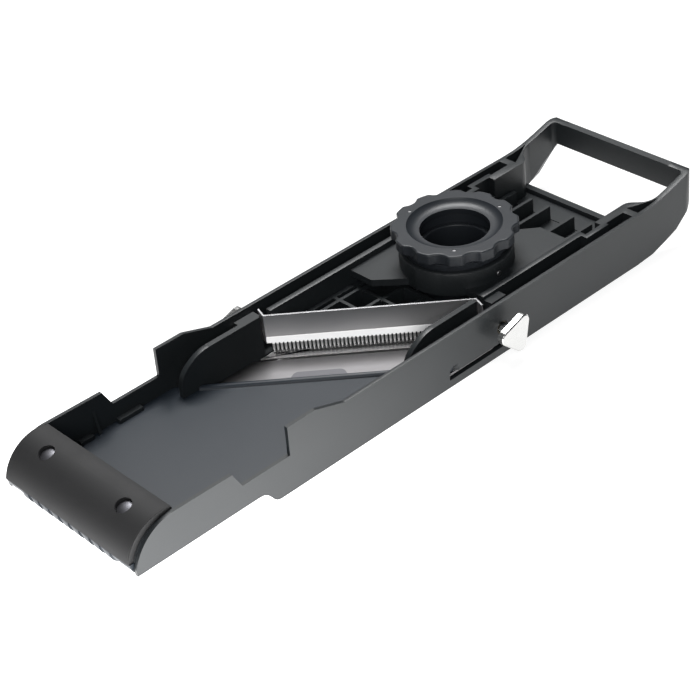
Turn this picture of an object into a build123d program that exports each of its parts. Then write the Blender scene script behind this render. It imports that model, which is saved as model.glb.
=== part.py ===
from build123d import *
import os
from math import cos, radians, sin, tan

os.makedirs("parts", exist_ok=True)

# Mandoline slicer lying on its two guide rails, underside up, sizes in millimetres.
# X runs across it, Y from the foot to the handle, Z up. The rails rest on z = 0.

# Frame
half_width = 51.0        # outer face of a side wall
wall_face = 48.9         # inner face of a side wall
inner_face = 37.0        # inner faces of the two inner walls, the ramp runs between them
inner_back = 40.2        # outer face of an inner wall
wall_top = 31.2
rail_floor = 2.4         # thickness of the web that closes each rail
rail_start = -111.3      # where the rails begin, behind the foot
channel_end = 148.3      # where the rails' channels end
waist_start = 154.0      # where the arms begin to bow outwards
bar_start, bar_end, bar_top = 159.5, 163.5, 12.0  # low cross member behind the ramp
opening_end = 193.0      # inner face of the grip
grip_bottom = 24.0
corner_radius = 9.0      # outer corners of the grip, in plan
fin_start = {1: -15.0, -1: -98.8}  # where each inner wall begins
gap = {1: (36.3, 41.2), -1: (-44.3, -37.2)}  # where the comb crosses each inner wall

# Blade and comb lie on lines at this angle across the slicer. A line is named by its
# distance from the origin, measured square to it towards the handle.
angle = 47.0
slope = tan(radians(angle))
square = cos(radians(angle))
blade_back, blade_edge = -33.1, -8.6
blade_bottom, blade_top = 5.8, 7.0
comb_line = -1.16
comb_centre = comb_line / square
comb_root, comb_top, comb_sheet = 13.4, 30.6, 1.0
tooth_pitch, tooth_count, tooth_tip = 2.1, 50, 7.2
deck_edge = -30.0        # front of the lower deck's rolled edge
deck_bottom, deck_top = 7.0, 10.0
roll_radius = 2.3

# Ramp, lifted by the knob
ramp_half = 36.4
ramp_end = 145.2
lip_line = -6.3          # front edge of the steel face
ramp_line = 0.8          # front edge of the moulded ramp
face_bottom, face_top = 6.0, 6.9
panel_top = 9.2
ramp_travel = 4.8
rib = 2.0
rib_step = 16.0
knob_y = 62.9

# Bridge, collar and knob, all on the knob's axis
bridge_bottom, bridge_top = 24.0, 28.0
collar_radius, collar_bore, collar_top = 30.8, 28.1, 37.8
post_radius, post_bore, post_top = 20.4, 17.6, 38.0
thread_bore = 20.48
barrel_radius, barrel_bottom, barrel_top = 28.03, 28.75, 44.6
wheel_radius, wheel_top, rim_radius, rim_top = 33.9, 50.3, 18.8, 47.3
lobes = 12
stop_screw_z = 31.0

# Clamp screws
screw_z = 16.0
screw_y = {1: 43.0, -1: 2 * comb_centre - 43.0}
screw_radius = 2.95
insert_radius = 3.9
flange_x = 46.4          # middle of the comb's clamped end flanges
flange_top = 25.0

# Foot: shelf and rubber pad are quarter rounds about one line
foot_centre = (-177.9, 10.1)
foot_low = 15.0          # where both end, above the deck's lip
shelf_radius, pad_radius = 19.5, 22.6
rivet_x, rivet_tilt = 30.0, 19.0

axis_spot = (0, knob_y)
rivet_seats = [
    Location((side * rivet_x, foot_centre[0] - shelf_radius * sin(radians(rivet_tilt)),
              foot_centre[1] + shelf_radius * cos(radians(rivet_tilt))), (rivet_tilt, 0, 0))
    for side in (1, -1)
]
along_blade = (cos(radians(angle)), sin(radians(angle)), 0)
across_blade = (-sin(radians(angle)), cos(radians(angle)), 0)
roll_spot = (deck_edge - roll_radius, deck_bottom + roll_radius)
blade_plane = Plane(origin=(0, 0, 0), x_dir=along_blade, z_dir=(0, 0, 1))
blade_section = Plane(origin=(0, 0, 0), x_dir=across_blade, z_dir=along_blade)


def on_line(x, line):
    """Point of a blade line at a given x."""
    return (x, x * slope + line / square)


def behind_line(half, line, start):
    """Corners of the plan area from the foot up to a blade line."""
    return [(-half, start), (half, start), on_line(half, line), on_line(-half, line)]


def ahead_of_line(half, line, end):
    """Corners of the plan area from a blade line up to the handle side."""
    return [on_line(-half, line), on_line(half, line), (half, end), (-half, end)]


def keep(shape, name):
    """Names a finished piece and writes it."""
    shape.part.label = name
    export_step(shape.part, f"parts/{name}.step")


# Frame: side walls, hollow rails, inner walls, foot shelf, bridge with collar, handle.
with BuildPart() as body_frame:
    with BuildSketch(Plane.YZ.offset(inner_face)):
        with BuildLine():
            Line((-197.6, 8.3), (-124.2, 8.3))
            Spline((-124.2, 8.3), (-117.4, 4.2), (rail_start, 0), tangents=((1, 0), (1, 0)))
            Line((rail_start, 0), (163, 0))
            Spline((163, 0), (183.2, 5.2), (200, 22), tangents=((1, 0), (0.1, 1)))
            Spline((200, 22), (199.4, 30.5), (197, 38.6), tangents=((0.1, 1), (-0.4, 1)))
            Spline((197, 38.6), (185.6, 36.2), (165, 31.8), (148, wall_top),
                   tangents=((-1, -0.1), (-1, 0)))
            Polyline((148, wall_top), (-66.5, wall_top), (-84.8, 37.2), (-102.8, 37.2), (-103.3, 21),
                     (-133, 21), (-138, 30.4), (-173.2, 31))
            ThreePointArc((-173.2, 31), (-189.6, 24.6), (-197.6, 12))
            Line((-197.6, 12), (-197.6, 8.3))
        make_face()
    extrude(amount=half_width - inner_face)
    mirror(about=Plane.YZ)
    # Grip bar of the handle, between the two arms.
    with BuildSketch(Plane.YZ.offset(-inner_face)):
        with BuildLine():
            Line((opening_end - 1, 10.6), (opening_end - 1, 38.1))
            Line((opening_end - 1, 38.1), (197, 38.6))
            Spline((197, 38.6), (199.4, 30.5), (200, 22), tangents=((0.4, -1), (-0.1, -1)))
            Line((200, 22), (opening_end - 1, 10.6))
        make_face()
    extrude(amount=2 * inner_face)
    # Handle opening: the arms bow outwards along it.
    with BuildSketch():
        with BuildLine():
            for side in (1, -1):
                Line((0, waist_start), (side * inner_face, waist_start))
                Spline((side * inner_face, waist_start), (side * 42.4, 161.5), (side * 47.6, 172),
                       tangents=((0, 1), (0, 1)))
                Line((side * 47.6, 172), (side * 47.6, opening_end - 2.8))
                ThreePointArc((side * 47.6, opening_end - 2.8), (side * 46.8, opening_end - 0.8),
                              (side * 44.8, opening_end))
                Line((side * 44.8, opening_end), (0, opening_end))
        make_face()
    extrude(amount=60, mode=Mode.SUBTRACT)
    # Rounded outer corners of the grip.
    with BuildSketch():
        for side in (1, -1):
            with Locations((side * (half_width - corner_radius), 200.1 - corner_radius)):
                Rectangle(12, 12, align=(Align.MIN if side > 0 else Align.MAX, Align.MIN))
                Circle(corner_radius, mode=Mode.SUBTRACT)
    extrude(amount=60, mode=Mode.SUBTRACT)
    # The grip bar is raised and thinned along its underside, and the arms' undersides
    # slope up inwards towards it.
    with BuildSketch(Plane.YZ.offset(-45.5)):
        Polygon((opening_end - 2, 0), (opening_end - 2, grip_bottom), (opening_end + 3, grip_bottom),
                (201, grip_bottom - 3), (201, 0), align=None)
    extrude(amount=91, mode=Mode.SUBTRACT)
    for side in (1, -1):
        for spot_y, inner_x, inner_z, outer_z in (
            (150, 36.5, 0, 0), (163, 38.5, 10.8, 0), (183, 45.5, 19.5, 4.8),
            (opening_end, 45.5, grip_bottom, 13), (200.6, 45.5, grip_bottom, 22),
        ):
            with BuildSketch(Plane.XZ.offset(-spot_y)):
                Polygon((side * inner_x, -2), (side * 52, -2), (side * 52, outer_z),
                        (side * inner_x, inner_z), align=None)
        loft(ruled=True, mode=Mode.SUBTRACT)
    # Low cross member behind the ramp, and the plate that ends the working face.
    with BuildSketch(Plane.XY.offset(face_bottom)):
        with Locations((0, bar_start)):
            Rectangle(90, bar_end - bar_start, align=(Align.CENTER, Align.MIN))
    extrude(amount=bar_top - face_bottom)
    with BuildSketch(Plane.XY.offset(face_bottom)):
        with Locations((0, ramp_end + 0.6)):
            Rectangle(2 * inner_face + 0.4, waist_start - ramp_end, align=(Align.CENTER, Align.MIN))
        with Locations((0, waist_start)):
            Rectangle(86, bar_start - waist_start + 1, align=(Align.CENTER, Align.MIN))
    extrude(amount=panel_top - face_bottom)
    for side in (1, -1):
        # Between the side wall and the inner wall the rail is a channel, open upwards.
        with BuildSketch(Plane.XY.offset(rail_floor)):
            Polygon(on_line(side * inner_back, deck_edge + 0.1), on_line(side * wall_face, deck_edge + 0.1),
                    (side * wall_face, channel_end), (side * 42.4, channel_end), (side * 42.4, 134.4),
                    (side * 44.3, 134.4), (side * 44.3, 116.8), (side * inner_back, 116.8), align=None)
        extrude(amount=40, mode=Mode.SUBTRACT)
        # Foot tray: open from wall to wall, over the deck.
        with BuildSketch(Plane.XY.offset(deck_bottom)):
            with Locations((side * (inner_face - 0.1), fin_start[side])):
                Rectangle(wall_face - inner_face + 0.1, 200,
                          align=(Align.MIN if side > 0 else Align.MAX, Align.MAX))
            Polygon((side * inner_back, fin_start[side] - 1), (side * wall_face, fin_start[side] - 1),
                    on_line(side * wall_face, deck_edge + 0.2), on_line(side * inner_back, deck_edge + 0.2),
                    align=None)
        extrude(amount=40, mode=Mode.SUBTRACT)
        # Pocket in the arm, behind the cross web.
        with BuildSketch(Plane.XY.offset(9)):
            Polygon((side * 40.8, 153), (side * wall_face, 153), (side * wall_face, 170), align=None)
        extrude(amount=40, mode=Mode.SUBTRACT)
        # Recess that guides the ramp's lug.
        with BuildSketch(Plane.XY.offset(deck_bottom - 2)):
            with Locations((side * (inner_face - 0.1), 119.3)):
                Rectangle(4.2, 12.1, align=(Align.MIN if side > 0 else Align.MAX, Align.MIN))
        extrude(amount=40, mode=Mode.SUBTRACT)
        # Gap where the comb crosses the inner wall.
        low, high = gap[side]
        with BuildSketch(Plane.XY.offset(7.25)):
            with Locations((side * (inner_face - 0.2), low)):
                Rectangle(inner_back - inner_face + 0.4, high - low,
                          align=(Align.MIN if side > 0 else Align.MAX, Align.MIN))
        extrude(amount=40, mode=Mode.SUBTRACT)
        # Rib that backs the comb's end flange against the clamp screw.
        rib_low = 41.2 if side > 0 else -55
        with BuildSketch(Plane.XY.offset(rail_floor)):
            with Locations((side * inner_back, rib_low)):
                Rectangle(45.75 - inner_back, 10.8 if side > 0 else 13.2,
                          align=(Align.MIN if side > 0 else Align.MAX, Align.MIN))
        extrude(amount=27)
        # Round front of the guard fin.
        start = fin_start[side]
        with BuildSketch(Plane.YZ.offset(side * inner_face if side > 0 else -inner_back)):
            with BuildLine():
                Line((start, 14), (start, 40))
                Line((start, 40), (start + 36, 40))
                Line((start + 36, 40), (start + 36, wall_top))
                Line((start + 36, wall_top), (start + 20, wall_top))
                Spline((start + 20, wall_top), (start + 8.6, 27.8), (start, 14), tangents=((-1, 0), (0, -1)))
            make_face()
        extrude(amount=inner_back - inner_face, mode=Mode.SUBTRACT)
        # Gusset and low bosses where the foot tray meets the side wall.
        with BuildSketch(Plane.XZ.offset(144)):
            Polygon((side * wall_face, 10.2), (side * wall_face, 23), (side * 46.6, 12), (side * 46, 10.2),
                    align=None)
        extrude(amount=1.6)
        for boss_y, boss_length in ((-157, 8), (-133, 15)):
            with BuildSketch(Plane.XY.offset(deck_top)):
                with Locations((side * wall_face, boss_y)):
                    Rectangle(3.4, boss_length, align=(Align.MAX if side > 0 else Align.MIN, Align.MIN))
            extrude(amount=2.2)
    # Room for the deck's plate under the fins, and for the blade through both inner walls.
    with BuildSketch(Plane.XY.offset(deck_bottom)):
        Polygon(*behind_line(wall_face, deck_edge + 0.1, -205), align=None)
    extrude(amount=deck_top - deck_bottom, mode=Mode.SUBTRACT)
    with BuildSketch(blade_section.offset(-90)):
        with Locations(roll_spot):
            Circle(roll_radius + 0.1)
    extrude(amount=180, mode=Mode.SUBTRACT)
    with BuildSketch(Plane.XY.offset(blade_bottom - 0.2)):
        Polygon(on_line(-wall_face, blade_back - 0.4), on_line(wall_face, blade_back - 0.4),
                on_line(wall_face, blade_edge + 0.4), on_line(-wall_face, blade_edge + 0.4), align=None)
    extrude(amount=blade_top - blade_bottom + 0.45, mode=Mode.SUBTRACT)
    slot_low = on_line(50, blade_back - 0.6)[1]
    slot_high = on_line(50, blade_edge + 0.6)[1]
    with BuildSketch(Plane.YZ.offset(wall_face - 0.1)):
        with Locations(((slot_low + slot_high) / 2, 6)):
            Rectangle(slot_high - slot_low + 1.5, 3.2)
    extrude(amount=3, mode=Mode.SUBTRACT)
    # Shelf under the foot pad.
    with BuildSketch(Plane.YZ.offset(-wall_face)):
        with Locations(foot_centre):
            Circle(shelf_radius)
            Circle(shelf_radius - 2.2, mode=Mode.SUBTRACT)
        with Locations((-171.9, foot_low)):
            Rectangle(40, 40, align=(Align.MAX, Align.MIN), mode=Mode.INTERSECT)
    extrude(amount=2 * wall_face)
    with Locations(*rivet_seats):
        Cylinder(2.1, 12, mode=Mode.SUBTRACT)
    # Bridge over the ramp, with the collar that the knob turns in.
    with BuildSketch(Plane.XY.offset(bridge_bottom)):
        Polygon((-inner_face, 19.2), (-20.6, 19.2), (-2, 36.5), (24, 44), (inner_face, 44),
                (inner_face, 113.4), (14, 113.4), (2, 100), (-24, 92), (-inner_face, 92), align=None)
    extrude(amount=bridge_top - bridge_bottom)
    with BuildSketch(Plane.XY.offset(bridge_bottom)):
        with Locations(axis_spot):
            Circle(collar_radius)
    extrude(amount=collar_top - bridge_bottom)
    with BuildSketch(Plane.XY.offset(bridge_top)):
        with Locations(axis_spot):
            Circle(collar_bore)
    extrude(amount=20, mode=Mode.SUBTRACT)
    with BuildSketch(Plane.XY.offset(bridge_bottom - 1)):
        with Locations(axis_spot):
            Circle(post_radius + 0.6)
    extrude(amount=6, mode=Mode.SUBTRACT)
    # Holes for the stop screw and the two thread inserts.
    with BuildSketch(Plane.YZ.offset(25)):
        with Locations((knob_y, stop_screw_z)):
            Circle(1.5)
    extrude(amount=8, mode=Mode.SUBTRACT)
    for side in (1, -1):
        with BuildSketch(Plane.YZ.offset(side * (wall_face + 1))):
            with Locations((screw_y[side], screw_z)):
                Circle(insert_radius)
        extrude(amount=2, both=True, mode=Mode.SUBTRACT)
    # Softened rim of the collar.
    collar_rim = body_frame.edges().filter_by(GeomType.CIRCLE).filter_by(
        lambda edge: abs(edge.radius - collar_radius) < 0.01 and edge.center().Z > collar_top - 0.1)
    fillet(collar_rim, 0.9)
keep(body_frame, "body_frame")

# Lower deck: ribbed working face below, rolled edge over the blade's back, curled foot lip.
with BuildPart() as lower_deck:
    with BuildSketch(Plane.YZ.offset(-48.8)):
        with BuildLine():
            Line((120, deck_bottom), (-190, deck_bottom))
            ThreePointArc((-190, deck_bottom), (-197.2, 9.3), (-199.4, 15))
            Line((-199.4, 15), (-196.9, 15))
            ThreePointArc((-196.9, 15), (-195, 11.5), (-190, deck_top))
            Line((-190, deck_top), (120, deck_top))
            Line((120, deck_top), (120, deck_bottom))
        make_face()
    extrude(amount=97.6)
    with BuildSketch(Plane.XY.offset(deck_bottom - 1)):
        Polygon(*ahead_of_line(60, deck_edge, 200), align=None)
    extrude(amount=10, mode=Mode.SUBTRACT)
    # Rolled edge, along the blade.
    with BuildSketch(blade_section.offset(-90)):
        with Locations(roll_spot):
            Circle(roll_radius)
    extrude(amount=180)
    with BuildSketch():
        for side in (1, -1):
            with Locations((side * 48.8, 0)):
                Rectangle(60, 420, align=(Align.MIN if side > 0 else Align.MAX, Align.CENTER))
    extrude(amount=30, mode=Mode.SUBTRACT)
    # Ribs of the working face, kept between the rails.
    for column in range(-4, 5):
        with BuildSketch(Plane.YZ.offset(column * 8.0 - 2.2)):
            with BuildLine():
                Line((60, deck_bottom - 1), (-190, deck_bottom - 1))
                ThreePointArc((-190, deck_bottom - 1), (-197.9, 8.6), (-200, 15))
                Line((-200, 15), (-199, 15))
                ThreePointArc((-199, 15), (-196.8, 9.7), (-190, deck_bottom + 0.5))
                Line((-190, deck_bottom + 0.5), (60, deck_bottom + 0.5))
                Line((60, deck_bottom + 0.5), (60, deck_bottom - 1))
            make_face()
        extrude(amount=4.4)
    with BuildSketch(Plane.XY.offset(deck_bottom - 2)):
        Polygon(*ahead_of_line(60, blade_back - 0.5, 200), align=None)
    extrude(amount=2, mode=Mode.SUBTRACT)
    with BuildSketch(Plane.XY.offset(deck_bottom)):
        Polygon(on_line(-60, deck_edge), on_line(60, deck_edge), (60, 200), (-60, 200), align=None)
    extrude(amount=0.6, mode=Mode.SUBTRACT)
    # Clear of the gussets and bosses on the side walls.
    with BuildSketch(Plane.XY.offset(deck_top)):
        for side in (1, -1):
            with Locations((side * 48.8, -160)):
                Rectangle(3.8, 45, align=(Align.MAX if side > 0 else Align.MIN, Align.MIN))
    extrude(amount=5, mode=Mode.SUBTRACT)
keep(lower_deck, "lower_deck")

# Leaf spring under the rolled edge, which keeps the blade from sliding out.
with BuildPart() as blade_spring:
    with BuildSketch(blade_plane.offset(blade_top + 0.05)) as spring_plan:
        with Locations((-29.2, 0)):
            Polygon((-16.4, deck_edge + 0.1), (16.4, deck_edge + 0.1), (12.6, deck_edge + 8.8),
                    (-12.6, deck_edge + 8.8), align=None)
        fillet(spring_plan.vertices().group_by(Axis.Y)[-1], 3.5)
    extrude(amount=0.6)
keep(blade_spring, "blade_spring")

# Slicing blade: a flat strip, slid in along its own length through the slot in one wall.
with BuildPart() as blade:
    with BuildSketch(blade_section.offset(-120)):
        Polygon((blade_back, blade_bottom), (blade_edge - 3.5, blade_bottom), (blade_edge, blade_top - 0.15),
                (blade_edge, blade_top), (blade_back, blade_top), align=None)
    extrude(amount=240)
    with BuildSketch(Plane.XY.offset(blade_bottom - 1)):
        with Locations((-48.6, 0)):
            Rectangle(98.2, 400, align=(Align.MIN, Align.CENTER))
    extrude(amount=3, mode=Mode.INTERSECT)
keep(blade, "blade")

# Julienne comb: a bent strip on edge, with a row of pointed teeth and two clamped end flanges.
comb_path = {
    1: [on_line(0, comb_line), on_line(37.4, comb_line), (flange_x, 35.4), (flange_x, 50.6)],
    -1: [on_line(0, comb_line), on_line(-37.4, comb_line), (-flange_x, 2 * comb_centre - 35.4),
         (-flange_x, 2 * comb_centre - 50.6)],
}
with BuildPart() as julienne_comb:
    for side in (1, -1):
        with BuildSketch(Plane.XY.offset(comb_root)):
            with BuildLine():
                Polyline(*comb_path[side])
                offset(amount=comb_sheet / 2, side=Side.BOTH)
            make_face()
        extrude(amount=comb_top - comb_root)
    # The clamped ends are lower than the web.
    for side in (1, -1):
        with BuildSketch(Plane.XY.offset(flange_top)):
            with Locations((side * 44.2, 0)):
                Rectangle(6, 140, align=(Align.MIN if side > 0 else Align.MAX, Align.CENTER))
        extrude(amount=comb_top - flange_top + 1, mode=Mode.SUBTRACT)
    web_plane = Plane(origin=(0, comb_centre, 0), x_dir=along_blade,
                      z_dir=(sin(radians(angle)), -cos(radians(angle)), 0))
    tooth_length = comb_root - tooth_tip
    with BuildSketch(web_plane.offset(-comb_sheet / 2)):
        with GridLocations(tooth_pitch, 1, tooth_count, 1):
            with Locations((0, comb_root)):
                Polygon((-0.7, 0.4), (0.7, 0.4), (0.6, -1.2), (0.52, -tooth_length + 2.4), (0, -tooth_length),
                        (-0.52, -tooth_length + 2.4), (-0.6, -1.2), align=None)
    extrude(amount=comb_sheet)
keep(julienne_comb, "julienne_comb")

# Ramp: moulded panel with deep ribs, side flanges and two guide lugs.
under_bridge = bridge_bottom - ramp_travel - 0.8
front_ribs, rear_ribs = (-30, -14, 2, 18), (-22, -9, 9, 22)
zones = ((-100, 18, 19.5, front_ribs), (18, 92, under_bridge, front_ribs), (92, ramp_end, 18, rear_ribs))
with BuildPart() as ramp:
    with BuildSketch(Plane.XY.offset(face_top)):
        Polygon(*ahead_of_line(ramp_half, ramp_line, ramp_end), align=None)
    extrude(amount=panel_top - face_top)
    for low, high, top, ribs in zones:
        with BuildSketch(Plane.XY.offset(panel_top)):
            with Locations((0, low)):
                for side in (1, -1):
                    with Locations((side * ramp_half, 0)):
                        Rectangle(2.8, high - low, align=(Align.MAX if side > 0 else Align.MIN, Align.MIN))
                with Locations(*[(rib_x, 0) for rib_x in ribs]):
                    Rectangle(rib, high - low, align=(Align.CENTER, Align.MIN))
            if ribs == front_ribs:
                cross_ribs = [4 + rib_step * row for row in range(-3, 6)]
                with Locations(*[(0, row) for row in cross_ribs if low < row < high]):
                    Rectangle(2 * ramp_half, rib)
            Polygon(*ahead_of_line(ramp_half, ramp_line, ramp_end), align=None, mode=Mode.INTERSECT)
        extrude(amount=top - panel_top)
    with BuildSketch(Plane.XY.offset(panel_top)):
        Polygon(on_line(-ramp_half, ramp_line), on_line(ramp_half, ramp_line),
                on_line(ramp_half, ramp_line + rib), on_line(-ramp_half, ramp_line + rib), align=None)
    extrude(amount=19.5 - panel_top)
    for side in (1, -1):
        with Locations((side * ramp_half, 125.3, face_top)):
            Box(3.6, 10.8, 14, align=(Align.MIN if side > 0 else Align.MAX, Align.CENTER, Align.MIN))
    # Flat seat for the lift post.
    with Locations((0, knob_y, panel_top)):
        Cylinder(25.4, 20, align=(Align.CENTER, Align.CENTER, Align.MIN), mode=Mode.SUBTRACT)
keep(ramp, "ramp")

# Steel face of the ramp, with a slit for each tooth of the comb.
with BuildPart() as ramp_face:
    with BuildSketch(Plane.XY.offset(face_bottom)):
        Polygon(*ahead_of_line(ramp_half, lip_line, ramp_end), align=None)
        with Locations(Location((0, comb_centre, 0), (0, 0, angle))):
            with GridLocations(tooth_pitch, 1, tooth_count, 1):
                Rectangle(1.44, 1.9, mode=Mode.SUBTRACT)
    extrude(amount=face_top - face_bottom)
keep(ramp_face, "ramp_face")

# Lift post: a tube on a flange, screwed to the ramp, that the knob's thread raises.
post_screw_ring = 22.8
with BuildPart() as lift_post:
    with BuildSketch(Plane.XY.offset(panel_top)):
        with Locations(axis_spot):
            Circle(25.2)
    extrude(amount=2.2)
    with BuildSketch(Plane.XY.offset(panel_top)):
        with Locations(axis_spot):
            Circle(post_radius)
    extrude(amount=post_top - panel_top)
    with Locations((0, knob_y, panel_top - 1)):
        Cylinder(post_bore, 40, align=(Align.CENTER, Align.CENTER, Align.MIN), mode=Mode.SUBTRACT)
        with PolarLocations(post_screw_ring, 4, start_angle=45):
            Cylinder(1.25, 10, mode=Mode.SUBTRACT)
    chamfer(lift_post.edges().group_by(Axis.Z)[-1], 0.5)
keep(lift_post, "lift_post")

with BuildPart() as post_screws:
    with Locations((0, knob_y, 0)):
        with PolarLocations(post_screw_ring, 4, start_angle=45):
            with Locations((0, 0, panel_top)):
                Cylinder(1.2, 2.2, align=(Align.CENTER, Align.CENTER, Align.MIN))
            with Locations((0, 0, panel_top + 2.2)):
                Cylinder(2.1, 1.4, align=(Align.CENTER, Align.CENTER, Align.MIN))
keep(post_screws, "post_screws")

# Sliding washer under the knob's barrel.
with BuildPart() as thrust_washer:
    with BuildSketch(Plane.XY.offset(bridge_top)):
        with Locations(axis_spot):
            Circle(collar_bore - 0.3)
            Circle(post_radius + 1, mode=Mode.SUBTRACT)
    extrude(amount=0.7)
keep(thrust_washer, "thrust_washer")

# Knob barrel: turns in the collar; its groove takes the stop screw, which holds it in and
# ends its turn.
groove_low, groove_high = stop_screw_z - 1.5, stop_screw_z + 1.5
turn = 270.0
wheel_screw_ring, wheel_screw_angle = 27.6, 74.0
with BuildPart() as knob_barrel:
    with Locations((0, knob_y, barrel_bottom)):
        Cylinder(barrel_radius, barrel_top - barrel_bottom, align=(Align.CENTER, Align.CENTER, Align.MIN))
    with Locations((0, knob_y, barrel_top - 3.2)):
        Cone(barrel_radius, 31.0, 3.2, align=(Align.CENTER, Align.CENTER, Align.MIN))
    with Locations((0, knob_y, barrel_bottom - 1)):
        Cylinder(thread_bore, 30, align=(Align.CENTER, Align.CENTER, Align.MIN), mode=Mode.SUBTRACT)
    with BuildSketch(Plane.XY.offset(groove_low)):
        with BuildLine():
            CenterArc(axis_spot, barrel_radius, -5, turn + 10)
            offset(amount=1.8, side=Side.BOTH)
        make_face()
    extrude(amount=groove_high - groove_low, mode=Mode.SUBTRACT)
    with Locations((0, knob_y, barrel_top)):
        with PolarLocations(wheel_screw_ring, 3, start_angle=wheel_screw_angle):
            Cylinder(0.9, 4, mode=Mode.SUBTRACT)
keep(knob_barrel, "knob_barrel")

# Knob wheel: scalloped rim, dished face, open centre.
with BuildPart() as knob_wheel:
    with BuildSketch(Plane.XZ.offset(-knob_y)):
        with BuildLine():
            Line((rim_radius, barrel_top), (wheel_radius, barrel_top))
            Line((wheel_radius, barrel_top), (wheel_radius, wheel_top))
            Line((wheel_radius, wheel_top), (25.6, wheel_top))
            Spline((25.6, wheel_top), (23.2, 48.2), (rim_radius, rim_top), tangents=((-0.7, -1), (-1, 0)))
            Line((rim_radius, rim_top), (rim_radius, barrel_top))
        make_face()
    revolve(axis=Axis((0, knob_y, 0), (0, 0, 1)), revolution_arc=360)
    with Locations((0, knob_y, barrel_top - 1)):
        with PolarLocations(wheel_radius + 4.6, lobes):
            Cylinder(7.0, 10, align=(Align.CENTER, Align.CENTER, Align.MIN), mode=Mode.SUBTRACT)
    crests = knob_wheel.edges().filter_by(Axis.Z).filter_by(
        lambda edge: (edge.center() - Vector(0, knob_y, edge.center().Z)).length > 30)
    fillet(crests, 2.6)
    outer_edges = knob_wheel.edges().group_by(Axis.Z)[-1].filter_by(
        lambda edge: (edge.center() - Vector(0, knob_y, edge.center().Z)).length > 27)
    fillet(outer_edges, 0.9)
    with Locations((0, knob_y, wheel_top)):
        with PolarLocations(wheel_screw_ring, 3, start_angle=wheel_screw_angle):
            Cylinder(0.95, 20, mode=Mode.SUBTRACT)
keep(knob_wheel, "knob_wheel")

with BuildPart() as knob_screws:
    with Locations((0, knob_y, 0)):
        with PolarLocations(wheel_screw_ring, 3, start_angle=wheel_screw_angle):
            with Locations((0, 0, barrel_top - 1.8)):
                Cylinder(0.9, wheel_top - barrel_top + 1.5, align=(Align.CENTER, Align.CENTER, Align.MIN))
keep(knob_screws, "knob_screws")

with BuildPart() as stop_screw:
    with Locations((barrel_radius - 0.9, knob_y, stop_screw_z)):
        Cylinder(1.1, 1.2, rotation=(0, 90, 0), align=(Align.CENTER, Align.CENTER, Align.MIN))
    with Locations((collar_bore, knob_y, stop_screw_z)):
        Cylinder(1.5, collar_radius - collar_bore + 0.5, rotation=(0, 90, 0),
                 align=(Align.CENTER, Align.CENTER, Align.MIN))
    chamfer(stop_screw.edges().group_by(Axis.X)[-1], 0.3)
keep(stop_screw, "stop_screw")

# Foot pad: a rubber quarter shell on the shelf, with two rivets in its round wells.
with BuildPart() as foot_pad:
    with BuildSketch(Plane.YZ.offset(-48.3)):
        with Locations(foot_centre):
            Circle(pad_radius)
            Circle(shelf_radius, mode=Mode.SUBTRACT)
        with Locations((-171.6, foot_low)):
            Rectangle(40, 40, align=(Align.MAX, Align.MIN), mode=Mode.INTERSECT)
    extrude(amount=96.6)
    with Locations(*rivet_seats):
        Cylinder(4.4, 14, mode=Mode.SUBTRACT)
keep(foot_pad, "foot_pad")

rivet_head = (Pos(0, 0, -7.6) * Sphere(9.5)) & Cylinder(4.2, 8, align=(Align.CENTER, Align.CENTER, Align.MIN))
with BuildPart() as foot_rivets:
    for seat in rivet_seats:
        add(seat * rivet_head)
        with Locations(seat):
            Cylinder(2.0, 4.2, align=(Align.CENTER, Align.CENTER, Align.MAX))
keep(foot_rivets, "foot_rivets")

# Clamp screws with lobed heads, their inserts in the walls and the pads on their tips.
pad_inner, pad_outer = 46.95, 47.75
head_inner, head_outer = 58.4, 62.0
for side, name in ((1, "near"), (-1, "far")):
    spot = (screw_y[side], screw_z)
    with BuildPart() as thread_insert:
        with BuildSketch(Plane.YZ.offset(wall_face)):
            with Locations(spot):
                Circle(insert_radius)
                Circle(screw_radius + 0.05, mode=Mode.SUBTRACT)
        extrude(amount=1.5)
        if side < 0:
            mirror(about=Plane.YZ, mode=Mode.REPLACE)
    keep(thread_insert, f"thread_insert_{name}")
    with BuildPart() as clamp_pad:
        with BuildSketch(Plane.YZ.offset(pad_inner)):
            with Locations(spot):
                Circle(3.4)
        extrude(amount=pad_outer - pad_inner)
        with BuildSketch(Plane.YZ.offset(pad_inner + 0.3)):
            with Locations(spot):
                Circle(1.55)
        extrude(amount=2, mode=Mode.SUBTRACT)
        if side < 0:
            mirror(about=Plane.YZ, mode=Mode.REPLACE)
    keep(clamp_pad, f"clamp_pad_{name}")
    with BuildPart() as thumbscrew:
        with BuildSketch(Plane.YZ.offset(pad_inner + 0.35)):
            with Locations(spot):
                Circle(1.5)
        extrude(amount=2)
        with BuildSketch(Plane.YZ.offset(pad_outer + 0.1)):
            with Locations(spot):
                Circle(screw_radius)
        extrude(amount=head_inner - pad_outer)
        with BuildSketch(Plane.YZ.offset(head_inner)):
            with Locations(spot):
                with PolarLocations(7.6, 3, start_angle=48):
                    Circle(3.9)
                make_hull()
        extrude(amount=head_outer - head_inner)
        chamfer(thumbscrew.edges().group_by(Axis.X)[-1], 0.6)
        if side < 0:
            mirror(about=Plane.YZ, mode=Mode.REPLACE)
    keep(thumbscrew, f"thumbscrew_{name}")
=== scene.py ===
import bpy
import bmesh
from math import cos, pi, radians, sin
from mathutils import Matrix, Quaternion, Vector


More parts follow.
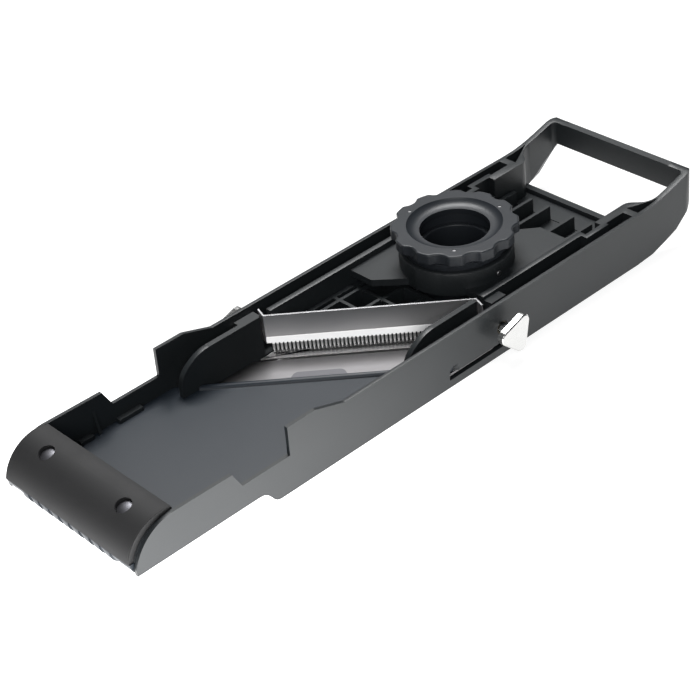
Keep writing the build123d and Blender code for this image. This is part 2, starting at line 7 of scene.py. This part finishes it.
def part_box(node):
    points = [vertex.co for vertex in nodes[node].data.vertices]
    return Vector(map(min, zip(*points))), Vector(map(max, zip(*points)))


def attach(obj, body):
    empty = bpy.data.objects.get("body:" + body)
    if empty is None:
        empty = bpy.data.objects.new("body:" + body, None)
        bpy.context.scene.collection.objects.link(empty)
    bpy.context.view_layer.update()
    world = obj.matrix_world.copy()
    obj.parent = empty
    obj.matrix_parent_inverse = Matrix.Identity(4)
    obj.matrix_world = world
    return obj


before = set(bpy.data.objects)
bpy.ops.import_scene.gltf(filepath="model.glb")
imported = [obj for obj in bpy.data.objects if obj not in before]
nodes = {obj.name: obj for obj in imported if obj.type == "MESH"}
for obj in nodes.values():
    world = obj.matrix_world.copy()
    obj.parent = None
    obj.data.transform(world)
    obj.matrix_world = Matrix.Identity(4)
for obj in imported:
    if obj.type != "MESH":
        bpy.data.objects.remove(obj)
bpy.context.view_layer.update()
mm = 0.001
print("frame loaded:", len(nodes), "nodes")

# camera and light
cameraSetup = {"place": (0.62933, -0.53556, 0.57804), "aim": (-0.0136, -0.0064, 0), "roll": -6.536,
               "lens": 99.03, "sensor": 36, "nearest": 0.01}
lightSetup = [
    {"name": "overhead", "place": (-0.40, 0.35, 1.25), "aim": (0, 0, 0), "size": (0.7, 0.7), "power": 20},
    {"name": "backPanel", "place": (-1.52, 1.25, 1.37), "aim": (0, 0, 0), "size": (1.7, 1.5), "power": 3.6},
    {"name": "frontPanel", "place": (1.30, -1.40, 1.30), "aim": (0, 0, 0), "size": (1.5, 1.3), "power": 19},
]
worldSetup = {"colour": (0.95, 0.97, 1, 1), "strength": 0.06}


def aimAt(piece, place, aim, roll=0):
    piece.location = place
    turn = (Vector(aim) - Vector(place)).to_track_quat("-Z", "Y")
    piece.rotation_mode = "QUATERNION"
    piece.rotation_quaternion = turn @ Quaternion((0, 0, 1), radians(roll))


def addCamera(setup):
    lens = bpy.data.cameras.new("camera")
    lens.lens = setup["lens"]
    lens.sensor_width = setup["sensor"]
    lens.clip_start = setup["nearest"]
    camera = bpy.data.objects.new("camera", lens)
    bpy.context.scene.collection.objects.link(camera)
    aimAt(camera, setup["place"], setup["aim"], setup["roll"])
    bpy.context.scene.camera = camera


def addLight(setup):
    lamp = bpy.data.lights.new(setup["name"], "AREA")
    lamp.shape = "RECTANGLE"
    lamp.size, lamp.size_y = setup["size"]
    lamp.energy = setup["power"]
    light = bpy.data.objects.new(setup["name"], lamp)
    bpy.context.scene.collection.objects.link(light)
    aimAt(light, setup["place"], setup["aim"])


def addWorld(setup):
    world = bpy.data.worlds.new("studio")
    world.use_nodes = True
    sky = world.node_tree.nodes["Background"]
    sky.inputs["Color"].default_value = setup["colour"]
    sky.inputs["Strength"].default_value = setup["strength"]
    bpy.context.scene.world = world


addCamera(cameraSetup)
for setup in lightSetup:
    addLight(setup)
addWorld(worldSetup)
bpy.context.scene.view_settings.view_transform = "Standard"
print("camera and lights set")


# shader maths
class Wire:
    # a value in a node tree: arithmetic on it adds Math nodes
    def __init__(self, paint, socket):
        self.paint = paint
        self.socket = socket

    def math(self, operation, *values):
        made = self.paint.node("ShaderNodeMath", {"operation": operation}, dict(enumerate(values)))
        return Wire(self.paint, made.outputs[0])

    def __add__(self, other):
        return self.math("ADD", self, other)

    __radd__ = __add__

    def __sub__(self, other):
        return self.math("SUBTRACT", self, other)

    def __rsub__(self, other):
        return self.math("SUBTRACT", other, self)

    def __mul__(self, other):
        return self.math("MULTIPLY", self, other)

    __rmul__ = __mul__

    def __abs__(self):
        return self.math("ABSOLUTE", self)


class Paint:
    # one material: its node tree, its Principled shader and a way to add any node
    def __init__(self, name, **shared):
        self.material = bpy.data.materials.new(name)
        self.material.use_nodes = True
        self.tree = self.material.node_tree
        self.tree.nodes.clear()
        self.shader = self.node("ShaderNodeBsdfPrincipled", {}, shared)
        surface = Wire(self, self.shader.outputs[0])
        self.node("ShaderNodeOutputMaterial", {}, {"Surface": surface})
        self.place = Wire(self, self.node("ShaderNodeTexCoord").outputs["Object"])

    def node(self, kind, settings=None, sockets=None):
        made = self.tree.nodes.new(kind)
        for name, value in (settings or {}).items():
            if name == "stops":
                self.setStops(made.color_ramp.elements, value)
            else:
                setattr(made, name, value)
        for name, value in (sockets or {}).items():
            self.feed(made.inputs[name], value)
        return made

    def setStops(self, elements, stops):
        while len(elements) < len(stops):
            elements.new(0.5)
        for element, (position, level) in zip(elements, stops):
            element.position = position
            element.color = (level, level, level, 1)

    def feed(self, socket, value):
        if isinstance(value, Wire):
            self.tree.links.new(value.socket, socket)
        else:
            socket.default_value = value

    def mapping(self, place, settings=None, **sockets):
        made = self.node("ShaderNodeMapping", settings, {"Vector": place, **sockets})
        return Wire(self, made.outputs[0])

    def noise(self, size, detail=2, stretch=(1, 1, 1), roughness=0.5, place=None):
        # size is the grain's own size in metres
        made = self.node("ShaderNodeTexNoise", {},
                         {"Vector": self.mapping(place or self.place, Scale=stretch), "Scale": 1 / size,
                          "Detail": detail, "Roughness": roughness})
        return Wire(self, made.outputs["Fac"])

    def ramp(self, value, *stops):
        made = self.node("ShaderNodeValToRGB", {"stops": stops}, {"Fac": value})
        return Wire(self, made.outputs[0])

    def mix(self, factor, first, second):
        made = self.node("ShaderNodeMix", {"data_type": "RGBA"}, {"Factor": factor})
        self.feed(made.inputs[6], first)
        self.feed(made.inputs[7], second)
        return Wire(self, made.outputs[2])

    def bump(self, height, depth, strength=1, under=None):
        sockets = {"Height": height, "Distance": depth, "Strength": strength}
        if under:
            sockets["Normal"] = under
        return Wire(self, self.node("ShaderNodeBump", {}, sockets).outputs[0])

    def axis(self, letter):
        return Wire(self, self.node("ShaderNodeSeparateXYZ", {}, {0: self.place}).outputs[letter])

    def dress(self, **sockets):
        names = {"colour": "Base Color", "roughness": "Roughness", "normal": "Normal",
                 "glow": "Emission Color"}
        for name, value in sockets.items():
            self.feed(self.shader.inputs[names[name]], value)
        return self.material


# moulded plastics: clouded colour, fine grain, and scuffs where they are rubbed
mouldings = {
    "frameMoulding": {"dark": (0.017, 0.0205, 0.0225, 1), "light": (0.021, 0.025, 0.0275, 1), "gloss": 0.38},
    "deckMoulding": {"dark": (0.014, 0.021, 0.030, 1), "light": (0.017, 0.024, 0.034, 1), "gloss": 0.42},
    "knobMoulding": {"dark": (0.020, 0.024, 0.029, 1), "light": (0.024, 0.028, 0.034, 1), "gloss": 0.34},
}
wear = {"cloudSize": 0.03, "grainSize": 0.0006, "grainDepth": 0.00003, "scuffSize": 0.0016,
        "scuffColour": (0.08, 0.085, 0.09, 1), "scuffShare": 0.3}


def moulding(name, setup):
    paint = Paint(name, IOR=1.5)
    cloud = paint.noise(wear["cloudSize"], 3)
    grain = paint.noise(wear["grainSize"], 2)
    rub = paint.ramp(paint.noise(wear["cloudSize"], 5), (0.4, 0), (0.75, 1))
    streaks = paint.noise(wear["scuffSize"], 6, (0.05, 1, 1), 0.7)
    scuff = paint.ramp(streaks, (0.66, 0), (0.74, 1)) * rub
    colour = paint.mix(cloud, setup["dark"], setup["light"])
    colour = paint.mix(scuff * wear["scuffShare"], colour, wear["scuffColour"])
    roughness = setup["gloss"] + 0.05 * rub + 0.08 * scuff + 0.05 * grain
    return paint.dress(colour=colour, roughness=roughness,
                       normal=paint.bump(grain, wear["grainDepth"], 0.4))


# steels: fine lines along a direction, given as its angle in degrees
steels = {
    "bladeSteel": {"colour": (0.26, 0.255, 0.26, 1), "gloss": 0.30, "along": 47, "scratch": 0.00035},
    "faceSteel": {"colour": (0.80, 0.79, 0.79, 1), "gloss": 0.30, "along": 90, "scratch": 0.00035},
    "springSteel": {"colour": (0.14, 0.14, 0.15, 1), "gloss": 0.36, "along": 47, "scratch": 0.0004},
    "screwSteel": {"colour": (0.55, 0.55, 0.56, 1), "gloss": 0.28, "along": 0, "scratch": 0.0003},
    "rivetSteel": {"colour": (0.22, 0.22, 0.24, 1), "gloss": 0.42, "along": 0, "scratch": 0.0004},
}
brushing = {"stretch": 0.02, "cloudSize": 0.02, "dim": 0.82, "depth": 0.00002}


def brushedSteel(name, setup):
    paint = Paint(name, Metallic=1.0)
    turned = paint.mapping(paint.place, Rotation=(0, 0, -radians(setup["along"])))
    brush = paint.noise(setup["scratch"], 3, (brushing["stretch"], 1, 1), place=turned)
    cloud = paint.noise(brushing["cloudSize"], 3)
    dim = tuple(brushing["dim"] * level for level in setup["colour"][:3]) + (1,)
    colour = paint.mix(brush * 0.6 + cloud * 0.4, dim, setup["colour"])
    roughness = setup["gloss"] + 0.12 * brush + 0.05 * cloud
    return paint.dress(colour=colour, roughness=roughness,
                       normal=paint.bump(brush, brushing["depth"], 0.35))


# the comb's heights are millimetres above the table
# the band colour above the teeth is a painted reflection, and the head colour is painted shade at the top
# edge
combSetup = {"plain": (0.97, 0.96, 0.96, 1), "reflectionBand": (0.70, 0.70, 0.70, 1), "head": (0.50, 0.50, 0.51, 1),
             "bandFoot": 13.4, "bandHead": 17.4, "bandRise": 2.4, "metallic": 0.8, "lineSize": 0.00035}


def combSteel(setup):
    # colour set by height as painted light and shade: a band above the teeth painted to stand in for the
    # reflection seen there, with its shading normals tilted, the plain colour above it, darkening toward the
    # top edge as painted shade
    paint = Paint("combSteel", Metallic=setup["metallic"])
    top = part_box("julienne_comb")[1][2] / mm
    share = paint.axis("Z") * (1 / mm / top)
    low, high = setup["bandFoot"] / top, setup["bandHead"] / top
    # band marks the painted reflection band above the teeth; fade is painted shade, darker toward the top
    # edge
    band = paint.ramp(share, (high - 0.03, 1), (high + 0.02, 0))
    fade = paint.ramp(share, (high, 1), (1, 0))
    lean = paint.ramp(share, (low - 0.02, 1), (high, 0))
    brush = paint.noise(setup["lineSize"], 3, (1, 1, 0.03))
    # painted shade toward the top, then the painted reflection band above the teeth
    colour = paint.mix(fade, setup["head"], setup["plain"])
    colour = paint.mix(band * 0.9, colour, setup["reflectionBand"])
    reflectionBand = paint.bump(lean, setup["bandRise"] * mm)
    return paint.dress(colour=colour, roughness=0.36 - 0.04 * band + 0.1 * brush,
                       normal=paint.bump(brush, brushing["depth"], 0.3, reflectionBand))


# the small parts' finishes: gloss is the roughness and how far the clouds raise it
cloudedFinishes = {
    "footRubber": {"shared": {"IOR": 1.5}, "cloud": (0.02, 4), "gloss": (0.55, 0.2),
                   "dark": (0.016, 0.016, 0.017, 1), "light": (0.022, 0.022, 0.023, 1),
                   "grain": (0.0004, 3), "relief": (0.00004, 0.6)},
    "insertBrass": {"shared": {"Metallic": 1.0}, "cloud": (0.002, 3), "gloss": (0.3, 0.2),
                    "dark": (0.05, 0.045, 0.035, 1), "light": (0.09, 0.08, 0.06, 1)},
    "screwNickel": {"shared": {"Metallic": 1.0}, "cloud": (0.004, 3), "gloss": (0.16, 0.14),
                    "dark": (0.70, 0.70, 0.69, 1), "light": (0.80, 0.80, 0.79, 1),
                    "grain": (0.0005, 2), "relief": (0.00003, 0.4)},
    "washerNylon": {"shared": {"IOR": 1.5}, "cloud": (0.003, 3), "gloss": (0.45, 0.1),
                    "dark": (0.55, 0.55, 0.52, 1), "light": (0.62, 0.62, 0.60, 1)},
}


def clouded(name, setup):
    paint = Paint(name, **setup["shared"])
    cloud = paint.noise(*setup["cloud"])
    base, swing = setup["gloss"]
    sockets = {"colour": paint.mix(cloud, setup["dark"], setup["light"]), "roughness": base + swing * cloud}
    if "grain" in setup:
        sockets["normal"] = paint.bump(paint.noise(*setup["grain"]), *setup["relief"])
    return paint.dress(**sockets)


materials = {name: moulding(name, setup) for name, setup in mouldings.items()}
materials.update({name: brushedSteel(name, setup) for name, setup in steels.items()})
materials.update({name: clouded(name, setup) for name, setup in cloudedFinishes.items()})
materials["combSteel"] = combSteel(combSetup)
print("materials made:", len(materials))

# CAD nodes: finish, and the radius in millimetres of the rounded edges
finishes = {
    "frameMoulding": ["body_frame", "ramp"],
    "deckMoulding": ["lower_deck"],
    "knobMoulding": ["knob_barrel", "knob_wheel", "lift_post"],
    "footRubber": ["foot_pad"],
    "bladeSteel": ["blade"],
    "combSteel": ["julienne_comb"],
    "faceSteel": ["ramp_face"],
    "springSteel": ["blade_spring"],
    "screwSteel": ["post_screws", "knob_screws", "stop_screw", "clamp_pad_near", "clamp_pad_far"],
    "rivetSteel": ["foot_rivets"],
    "insertBrass": ["thread_insert_near", "thread_insert_far"],
    "screwNickel": ["thumbscrew_near", "thumbscrew_far"],
    "washerNylon": ["thrust_washer"],
}
edgeRadius = {"body_frame": 0.7, "lower_deck": 0.3, "ramp": 0.35, "knob_barrel": 0.4, "lift_post": 0.25,
              "blade_spring": 0.12, "julienne_comb": 0.08, "ramp_face": 0.1}
edgeSetup = {"weld": 0.000002, "flatAngle": 0.5, "sharpAngle": 35, "segments": 2}


def dissolveAndRound(piece, radius, setup):
    weld = piece.modifiers.new("weld", "WELD")
    weld.merge_threshold = setup["weld"]
    flat = piece.modifiers.new("flat", "DECIMATE")
    flat.decimate_type = "DISSOLVE"
    flat.angle_limit = radians(setup["flatAngle"])
    bevel = piece.modifiers.new("edges", "BEVEL")
    bevel.width = radius * mm
    bevel.segments = setup["segments"]
    bevel.limit_method = "ANGLE"
    bevel.angle_limit = radians(setup["sharpAngle"])


for finish, names in finishes.items():
    for name in names:
        piece = nodes[name]
        piece.data.materials.clear()
        piece.data.materials.append(materials[finish])
for name, radius in edgeRadius.items():
    dissolveAndRound(nodes[name], radius, edgeSetup)
print("CAD nodes finished")


# detail pieces
def newPiece(name, mesh, material, body):
    piece = bpy.data.objects.new(name, mesh)
    bpy.context.scene.collection.objects.link(piece)
    mesh.materials.append(material)
    for face in mesh.polygons:
        face.use_smooth = True
    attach(piece, body)
    return piece


def tubeAlong(name, path, radius, sides):
    # a round bead that follows a line of points, with capped ends
    shape = bmesh.new()
    rings = []
    for index, spot in enumerate(path):
        before = path[max(index - 1, 0)]
        after = path[min(index + 1, len(path) - 1)]
        turn = (after - before).to_track_quat("Z", "X")
        rings.append([shape.verts.new(spot + turn @ Vector((radius * cos(2 * pi * side / sides),
                                                            radius * sin(2 * pi * side / sides), 0)))
                      for side in range(sides)])
    for first, second in zip(rings, rings[1:]):
        for side in range(sides):
            other = (side + 1) % sides
            shape.faces.new((first[side], first[other], second[other], second[side]))
    shape.faces.new(list(reversed(rings[0])))
    shape.faces.new(rings[-1])
    mesh = bpy.data.meshes.new(name)
    shape.to_mesh(mesh)
    shape.free()
    return mesh


# from and to are distances from the middle of the slicer; lengths are millimetres
threadSetup = {"pitch": 0.9, "depth": 0.28, "steps": 28, "sides": 6,
               "from": 48.6, "to": 58.2, "radius": 2.72}


def threadTurns(name, side, setup):
    # turns of thread on a clamp screw's shank, between the wall and the head
    sign = 1 if side == "near" else -1
    insertLow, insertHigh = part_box("thread_insert_" + side)
    axisY = (insertLow[1] + insertHigh[1]) / 2
    axisZ = (insertLow[2] + insertHigh[2]) / 2
    reach = setup["radius"] * mm
    count = int((setup["to"] - setup["from"]) / setup["pitch"] * setup["steps"])
    path = []
    for index in range(count + 1):
        turns = index / setup["steps"]
        angle = 2 * pi * turns
        path.append(Vector((sign * (setup["from"] + setup["pitch"] * turns) * mm,
                            axisY + reach * cos(angle), axisZ + reach * sin(angle))))
    mesh = tubeAlong(name, path, setup["depth"] * mm, setup["sides"])
    return newPiece(name, mesh, materials["screwNickel"], "screw_" + side)


# the pad is part of a cylinder: its centre and radius are millimetres
# from and to are the lip's two ends, in degrees round that cylinder
lipSetup = {"radius": 0.55, "sunk": 0.7, "inset": 0.5, "steps": 40, "sides": 10,
            "padCentre": (-177.9, 10.1), "padRadius": 22.6, "from": -14, "to": 76}


def padLip(name, side, setup):
    # rounded bead along the end of the rubber pad
    low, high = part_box("foot_pad")
    sign = 1 if side == "near" else -1
    end = high[0] if side == "near" else low[0]
    radius = (setup["padRadius"] - setup["radius"] * setup["sunk"]) * mm
    centreY, centreZ = setup["padCentre"]
    path = []
    for index in range(setup["steps"] + 1):
        angle = radians(setup["from"] + (setup["to"] - setup["from"]) * index / setup["steps"])
        path.append(Vector((end - sign * setup["inset"] * mm, centreY * mm - radius * sin(angle),
                            centreZ * mm + radius * cos(angle))))
    mesh = tubeAlong(name, path, setup["radius"] * mm, setup["sides"])
    return newPiece(name, mesh, materials["footRubber"], "frame")


for side in ("near", "far"):
    threadTurns(side + "ScrewThread", side, threadSetup)
for side in ("near", "far"):
    padLip(side + "PadLip", side, lipSetup)
print("detail pieces made")

# floor: an even glow, brighter near one spot, and a painted shadow: dark in a rectangle under the object
floorSetup = {"size": 8, "colour": (0.30, 0.30, 0.30, 1), "roughness": 0.6, "glow": 0.88, "drop": 0.0002,
              "brightSpot": (0.11, -0.22), "reach": 0.26, "gain": 5, "shade": (0.004, 0.004, 0.004, 1),
              "shadeHalf": 0.042, "shadeFrom": -0.185, "shadeTo": 0.150, "shadeEdge": 0.006}


def floorGlow(paint, setup):
    near = paint.mapping(paint.place, {"vector_type": "TEXTURE"}, Location=(*setup["brightSpot"], 0),
                         Scale=(setup["reach"],) * 3)
    fade = paint.node("ShaderNodeTexGradient", {"gradient_type": "SPHERICAL"}, {"Vector": near})
    dimmest = (setup["glow"] / setup["gain"],) * 3 + (1,)
    glow = paint.mix(Wire(paint, fade.outputs["Fac"]), dimmest, (1, 1, 1, 1))
    # the shade rectangle is a painted shadow in the floor's glow under the object
    half, edge = setup["shadeHalf"], setup["shadeEdge"]
    middle = (setup["shadeFrom"] + setup["shadeTo"]) / 2
    halfLong = (setup["shadeTo"] - setup["shadeFrom"]) / 2
    outX = paint.ramp(abs(paint.axis("X")), (half - edge, 0), (half, 1))
    outY = paint.ramp(abs(paint.axis("Y") - middle), (halfLong - edge, 0), (halfLong, 1))
    return paint.mix(outX.math("MAXIMUM", outX, outY), setup["shade"], glow)


def addFloor(setup):
    bpy.ops.mesh.primitive_grid_add(x_subdivisions=4, y_subdivisions=4, size=setup["size"])
    floor = bpy.context.object
    floor.name = "studioFloor"
    floor.location.z = -setup["drop"]
    paint = Paint("studioFloor", **{"Emission Strength": setup["gain"]})
    floor.data.materials.append(paint.dress(colour=setup["colour"], roughness=setup["roughness"],
                                            glow=floorGlow(paint, setup)))


addFloor(floorSetup)
